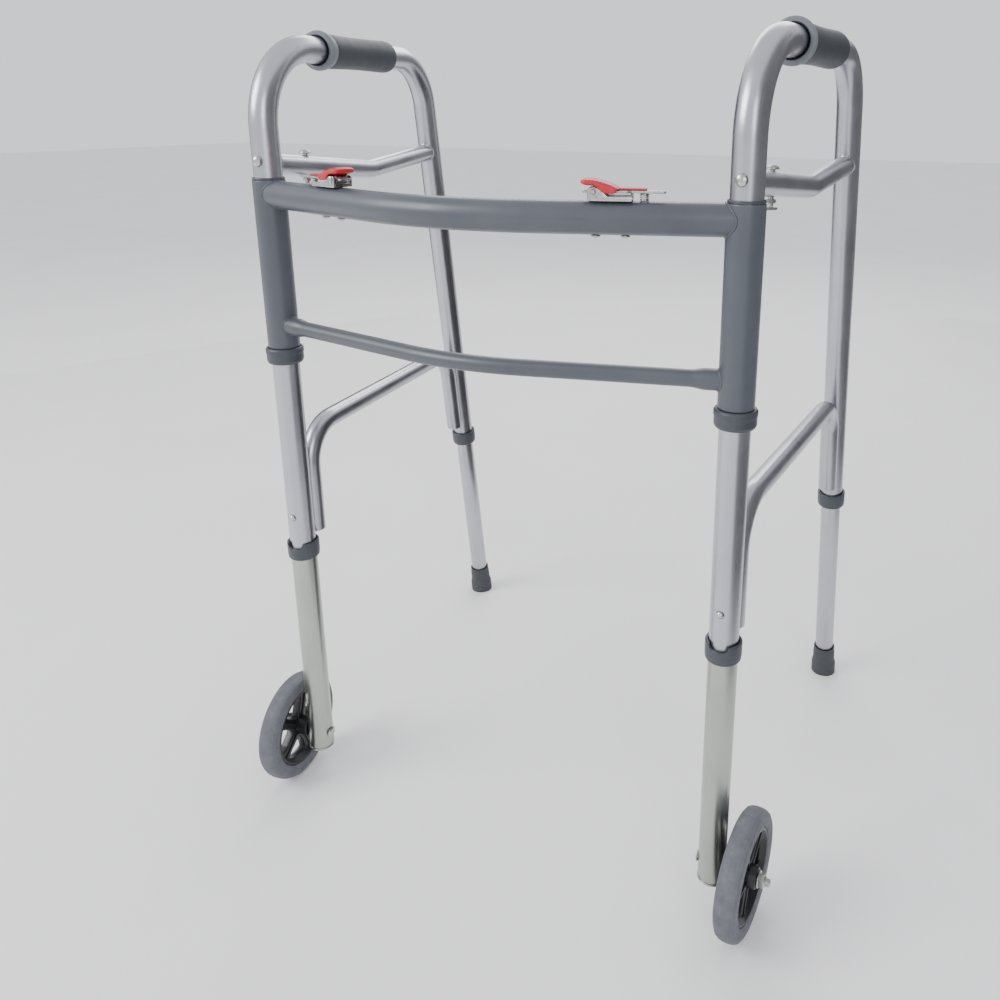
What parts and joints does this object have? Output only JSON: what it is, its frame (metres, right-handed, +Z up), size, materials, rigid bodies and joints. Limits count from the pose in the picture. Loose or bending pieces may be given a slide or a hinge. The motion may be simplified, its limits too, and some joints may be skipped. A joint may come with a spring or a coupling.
{
  "type": "walking frame",
  "caption": "Folding walking frame: hinged side frames, bowed cross frame, press levers, height-adjustable legs, front wheels and rubber rear tips.",
  "frame": {"origin": "centre of the bounding box, on the floor plane under the wheels and rear tips", "axes": "+Z up, front of the frame towards -Y, +X to the right seen from the front"},
  "size_m": [0.623, 0.558, 0.8852],
  "materials": {
    "anodised_aluminium": "satin anodised",
    "leg_aluminium": "satin, slightly green-grey",
    "slate_paint": "semi-gloss slate grey paint",
    "dark_plastic": "moulded, lightly textured",
    "grip_vinyl": "soft vinyl",
    "tip_rubber": "matt rubber",
    "grey_tyre": "solid grey tyre",
    "black_hub": "moulded gloss black",
    "zinc_steel": "zinc plated",
    "red_plastic": "moulded satin red"
  },
  "bodies": {
    "front_frame": {"upper_crossbar": "slate_paint", "lower_crossbar": "slate_paint", "left_hinge_sleeve": "slate_paint", "left_top_bushing": "dark_plastic", "left_sleeve_collar": "dark_plastic", "left_latch_bracket": "zinc_steel", "left_inner_rivet": "zinc_steel", "left_outer_rivet": "zinc_steel", "left_pivot_pin": "zinc_steel", "left_lever_spring": "zinc_steel", "right_hinge_sleeve": "slate_paint", "right_top_bushing": "dark_plastic", "right_sleeve_collar": "dark_plastic", "right_latch_bracket": "zinc_steel", "right_inner_rivet": "zinc_steel", "right_outer_rivet": "zinc_steel", "right_pivot_pin": "zinc_steel", "right_lever_spring": "zinc_steel"},
    "left_side": {"left_side_tube": "anodised_aluminium", "left_grip": "grip_vinyl", "left_upper_brace": "anodised_aluminium", "left_lower_brace": "anodised_aluminium", "left_upright_bolt": "zinc_steel", "left_latch_bolt": "zinc_steel", "left_latch_nut": "zinc_steel", "left_front_leg_collar": "dark_plastic", "left_rear_leg_collar": "dark_plastic"},
    "left_front_leg": {"left_wheel_leg": "leg_aluminium", "left_leg_plug": "leg_aluminium", "left_axle_bolt": "zinc_steel", "left_axle_nut": "zinc_steel"},
    "left_rear_leg": {"left_rear_extension": "anodised_aluminium", "left_rear_tip": "tip_rubber"},
    "left_wheel": {"left_tyre": "grey_tyre", "left_hub": "black_hub"},
    "left_lever": {"left_lever_plate": "zinc_steel", "left_release_button": "red_plastic"},
    "left_front_button": {"left_front_snap_button": "zinc_steel"},
    "left_rear_button": {"left_rear_snap_button": "zinc_steel"},
    "right_side": {"right_side_tube": "anodised_aluminium", "right_grip": "grip_vinyl", "right_upper_brace": "anodised_aluminium", "right_lower_brace": "anodised_aluminium", "right_upright_bolt": "zinc_steel", "right_latch_bolt": "zinc_steel", "right_latch_nut": "zinc_steel", "right_front_leg_collar": "dark_plastic", "right_rear_leg_collar": "dark_plastic"},
    "right_front_leg": {"right_wheel_leg": "leg_aluminium", "right_leg_plug": "leg_aluminium", "right_axle_bolt": "zinc_steel", "right_axle_nut": "zinc_steel"},
    "right_rear_leg": {"right_rear_extension": "anodised_aluminium", "right_rear_tip": "tip_rubber"},
    "right_wheel": {"right_tyre": "grey_tyre", "right_hub": "black_hub"},
    "right_lever": {"right_lever_plate": "zinc_steel", "right_release_button": "red_plastic"},
    "right_front_button": {"right_front_snap_button": "zinc_steel"},
    "right_rear_button": {"right_rear_snap_button": "zinc_steel"}
  },
  "joints": [
    {"name": "left_fold", "type": "hinge", "parent": "front_frame", "child": "left_side", "pos_m": [-0.25, -0.20165, 0.6], "axis": [0, 0, -1], "range_deg": [0, 92]},
    {"name": "left_front_leg_slide", "type": "slide", "parent": "left_side", "child": "left_front_leg", "axis": [0, 0, -1], "range_m": [0, 0.1016]},
    {"name": "left_rear_leg_slide", "type": "slide", "parent": "left_side", "child": "left_rear_leg", "axis": [-0.0143, 0.1554, -0.9877], "range_m": [0, 0.1016]},
    {"name": "left_wheel_spin", "type": "hinge", "parent": "left_front_leg", "child": "left_wheel", "pos_m": [-0.28416, -0.20479, 0.0635], "axis": [0.9958, 0.0915, 0], "continuous": true},
    {"name": "left_lever_press", "type": "hinge", "parent": "front_frame", "child": "left_lever", "pos_m": [-0.12996, -0.23862, 0.7405], "axis": [-0.2944, -0.9557, 0], "range_deg": [0, 3], "stiffness_Nm_per_rad": 1.5, "springref_deg": -4.58, "deforming": ["left_lever_spring"]},
    {"name": "left_front_button_press", "type": "slide", "parent": "left_side", "child": "left_front_button", "axis": [-0.0915, 0.9958, 0], "range_m": [0, 0.0035], "stiffness_N_per_m": 800, "springref_m": -0.003},
    {"name": "left_rear_button_press", "type": "slide", "parent": "left_side", "child": "left_rear_button", "axis": [0.0904, -0.9836, -0.1561], "range_m": [0, 0.0035], "stiffness_N_per_m": 800, "springref_m": -0.003},
    {"name": "right_fold", "type": "hinge", "parent": "front_frame", "child": "right_side", "pos_m": [0.25, -0.20165, 0.6], "axis": [0, 0, 1], "range_deg": [0, 50]},
    {"name": "right_front_leg_slide", "type": "slide", "parent": "right_side", "child": "right_front_leg", "axis": [0, 0, -1], "range_m": [0, 0.1016]},
    {"name": "right_rear_leg_slide", "type": "slide", "parent": "right_side", "child": "right_rear_leg", "axis": [0.0143, 0.1554, -0.9877], "range_m": [0, 0.1016]},
    {"name": "right_wheel_spin", "type": "hinge", "parent": "right_front_leg", "child": "right_wheel", "pos_m": [0.28416, -0.20479, 0.0635], "axis": [0.9958, -0.0915, 0], "continuous": true},
    {"name": "right_lever_press", "type": "hinge", "parent": "front_frame", "child": "right_lever", "pos_m": [0.12996, -0.23862, 0.7405], "axis": [-0.2944, 0.9557, 0], "range_deg": [0, 3], "stiffness_Nm_per_rad": 1.5, "springref_deg": -4.58, "deforming": ["right_lever_spring"]},
    {"name": "right_front_button_press", "type": "slide", "parent": "right_side", "child": "right_front_button", "axis": [0.0915, 0.9958, 0], "range_m": [0, 0.0035], "stiffness_N_per_m": 800, "springref_m": -0.003},
    {"name": "right_rear_button_press", "type": "slide", "parent": "right_side", "child": "right_rear_button", "axis": [-0.0904, -0.9836, -0.1561], "range_m": [0, 0.0035], "stiffness_N_per_m": 800, "springref_m": -0.003}
  ]
}
